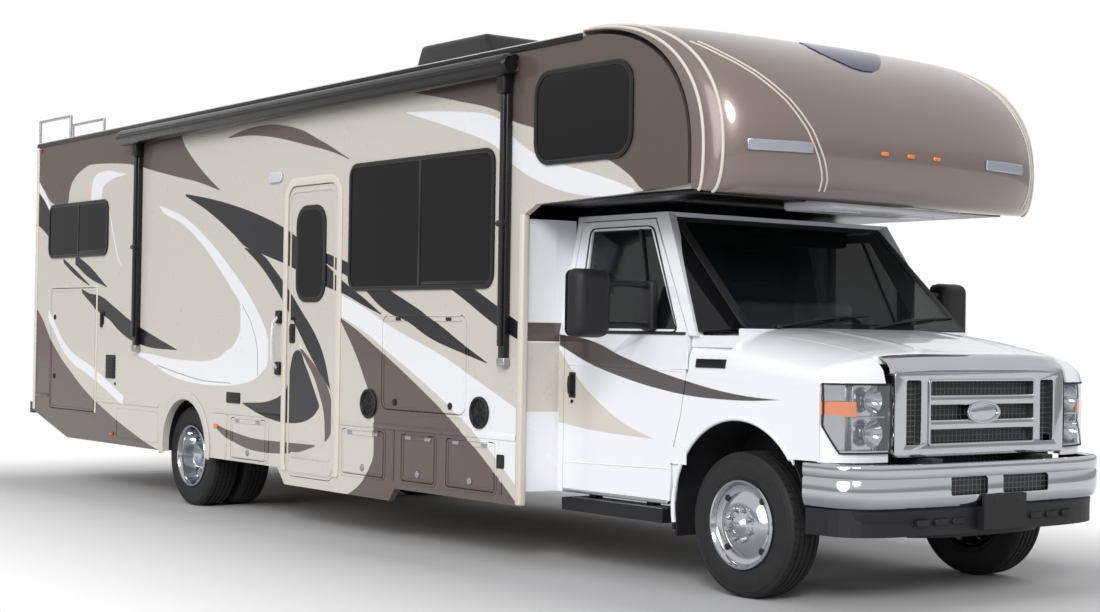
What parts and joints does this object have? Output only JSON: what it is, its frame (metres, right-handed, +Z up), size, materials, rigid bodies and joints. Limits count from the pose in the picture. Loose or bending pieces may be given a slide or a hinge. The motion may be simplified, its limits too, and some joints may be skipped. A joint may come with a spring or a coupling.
{
  "type": "motorhome",
  "caption": "Cab-over motorhome on a cutaway van chassis, with a long coach body, opening cab doors, entry door, lockers and hood, steered front wheels and twin rear wheels.",
  "frame": {"origin": "on the ground, under the middle of the whole vehicle's box", "axes": "+X forward, +Y to the vehicle's left, +Z up"},
  "size_m": [9.646, 3.1, 3.3403],
  "materials": {
    "chassis_paint": "semi-gloss black",
    "exhaust_steel": "dull",
    "tank_plastic": "matt",
    "engine_iron": "rough cast",
    "tyre_rubber": "matt rubber",
    "bright_metal": "bright plated",
    "cab_paint": "gloss white with a swoosh in dark and beige",
    "lamp_lens": "clear with amber corner",
    "black_plastic": "grained black",
    "clear_glass": "tinted",
    "dark_glass": "dark tint",
    "cab_trim": "grained",
    "seat_cloth": "woven",
    "floor_ply": "sealed board",
    "coach_skin": "gloss beige with brown, white and black swooshes",
    "roof_skin": "satin white membrane",
    "cap_paint": "metallic brown gloss",
    "awning_black": "satin black",
    "shroud_paint": "dark shroud"
  },
  "bodies": {
    "root": {"chassis_frame": "chassis_paint", "front_axle": "chassis_paint", "rear_axle": "chassis_paint", "drive_shaft": "chassis_paint", "exhaust": "exhaust_steel", "fuel_tank": "tank_plastic", "engine_block": "engine_iron", "cab_floor": "cab_trim", "cab_shell": "cab_paint", "front_fenders": "cab_paint", "grille": "bright_metal", "headlamps": "lamp_lens", "front_bumper": "bright_metal", "air_dam": "black_plastic", "windshield": "clear_glass", "running_boards": "black_plastic", "dashboard": "cab_trim", "cab_seats": "seat_cloth", "coach_floor": "floor_ply", "coach_wall_left": "coach_skin", "coach_wall_right": "coach_skin", "lower_skirts": "coach_skin", "rear_wall": "coach_skin", "coach_roof": "roof_skin", "cab_over_cap": "cap_paint", "cab_over_floor": "black_plastic", "coach_front_wall": "cab_paint", "coach_windows": "dark_glass", "awning": "awning_black", "roof_air_conditioner": "shroud_paint", "ladder": "black_plastic", "rear_bumper": "black_plastic"},
    "knuckle_left": {"knuckle_left": "chassis_paint"},
    "knuckle_right": {"knuckle_right": "chassis_paint"},
    "front_wheel_left": {"front_tyre_left": "tyre_rubber", "front_rim_left": "bright_metal"},
    "front_wheel_right": {"front_tyre_right": "tyre_rubber", "front_rim_right": "bright_metal"},
    "rear_wheels_left": {"rear_tyres_left": "tyre_rubber", "rear_rims_left": "bright_metal"},
    "rear_wheels_right": {"rear_tyres_right": "tyre_rubber", "rear_rims_right": "bright_metal"},
    "hood": {"hood": "cab_paint"},
    "cab_door_left": {"cab_door_left": "cab_paint", "door_glass_left": "clear_glass", "mirror_left": "black_plastic"},
    "cab_door_right": {"cab_door_right": "cab_paint", "door_glass_right": "clear_glass", "mirror_right": "black_plastic"},
    "steering_wheel": {"steering_wheel": "black_plastic"},
    "entry_door": {"entry_door": "coach_skin", "entry_door_glass": "dark_glass"},
    "rear_locker_right": {"rear_locker_right": "coach_skin"},
    "media_locker": {"media_locker": "coach_skin"},
    "step_hatch": {"step_hatch": "coach_skin"},
    "middle_hatch": {"middle_hatch": "coach_skin"},
    "front_hatch": {"front_hatch": "coach_skin"},
    "wheel_hatch": {"wheel_hatch": "coach_skin"},
    "rear_locker_left": {"rear_locker_left": "coach_skin"}
  },
  "joints": [
    {"name": "steer_left", "type": "hinge", "parent": "root", "child": "knuckle_left", "pos_m": [3.9375, 0.8, 0.372], "axis": [0, 0, 1], "range_deg": [-30, 30]},
    {"name": "front_wheel_spin_left", "type": "hinge", "parent": "knuckle_left", "child": "front_wheel_left", "pos_m": [3.9375, 0.875, 0.372], "axis": [0, 1, 0], "continuous": true},
    {"name": "rear_wheel_spin_left", "type": "hinge", "parent": "root", "child": "rear_wheels_left", "pos_m": [-1.7925, 1.085, 0.372], "axis": [0, 1, 0], "continuous": true},
    {"name": "cab_door_swing_left", "type": "hinge", "parent": "root", "child": "cab_door_left", "pos_m": [3.54, 1.0053, 1], "axis": [0, 0, -1], "range_deg": [0, 70]},
    {"name": "steer_right", "type": "hinge", "parent": "root", "child": "knuckle_right", "pos_m": [3.9375, -0.8, 0.372], "axis": [0, 0, 1], "range_deg": [-30, 30]},
    {"name": "front_wheel_spin_right", "type": "hinge", "parent": "knuckle_right", "child": "front_wheel_right", "pos_m": [3.9375, -0.875, 0.372], "axis": [0, 1, 0], "continuous": true},
    {"name": "rear_wheel_spin_right", "type": "hinge", "parent": "root", "child": "rear_wheels_right", "pos_m": [-1.7925, -1.085, 0.372], "axis": [0, 1, 0], "continuous": true},
    {"name": "cab_door_swing_right", "type": "hinge", "parent": "root", "child": "cab_door_right", "pos_m": [3.54, -1.0053, 1], "axis": [0, 0, 1], "range_deg": [0, 70]},
    {"name": "hood_lift", "type": "hinge", "parent": "root", "child": "hood", "pos_m": [3.84, 0, 1.3733], "axis": [0, -1, 0], "range_deg": [0, 50]},
    {"name": "steering_wheel_turn", "type": "hinge", "parent": "root", "child": "steering_wheel", "pos_m": [3.4675, 0.4, 1.18], "axis": [-0.9063, 0, 0.4226], "range_deg": [-480, 480]},
    {"name": "entry_door_swing", "type": "hinge", "parent": "root", "child": "entry_door", "pos_m": [0.39, -1.2623, 1.3], "axis": [0, 0, 1], "range_deg": [0, 95]},
    {"name": "rear_locker_swing_right", "type": "hinge", "parent": "root", "child": "rear_locker_right", "pos_m": [-3.428, -1.2623, 1.1], "axis": [0, 0, 1], "range_deg": [0, 95]},
    {"name": "rear_locker_swing_left", "type": "hinge", "parent": "root", "child": "rear_locker_left", "pos_m": [-3.428, 1.2623, 1.1], "axis": [0, 0, -1], "range_deg": [0, 95]},
    {"name": "media_locker_lift", "type": "hinge", "parent": "root", "child": "media_locker", "pos_m": [1.4175, -1.2623, 1.4225], "axis": [-1, 0, 0], "range_deg": [0, 90]},
    {"name": "step_hatch_lift", "type": "hinge", "parent": "root", "child": "step_hatch", "pos_m": [0.7375, -1.2623, 0.6925], "axis": [-1, 0, 0], "range_deg": [0, 90]},
    {"name": "middle_hatch_lift", "type": "hinge", "parent": "root", "child": "middle_hatch", "pos_m": [1.3775, -1.2623, 0.6925], "axis": [-1, 0, 0], "range_deg": [0, 90]},
    {"name": "front_hatch_lift", "type": "hinge", "parent": "root", "child": "front_hatch", "pos_m": [1.9325, -1.2623, 0.6925], "axis": [-1, 0, 0], "range_deg": [0, 90]},
    {"name": "wheel_hatch_lift", "type": "hinge", "parent": "root", "child": "wheel_hatch", "pos_m": [-0.7905, -1.2623, 0.6925], "axis": [-1, 0, 0], "range_deg": [0, 90]}
  ],
  "couplings": [
    {"joint": "steer_right", "follows": "steer_left", "ratio": 1},
    {"joint": "steering_wheel_turn", "follows": "steer_left", "ratio": 16}
  ]
}
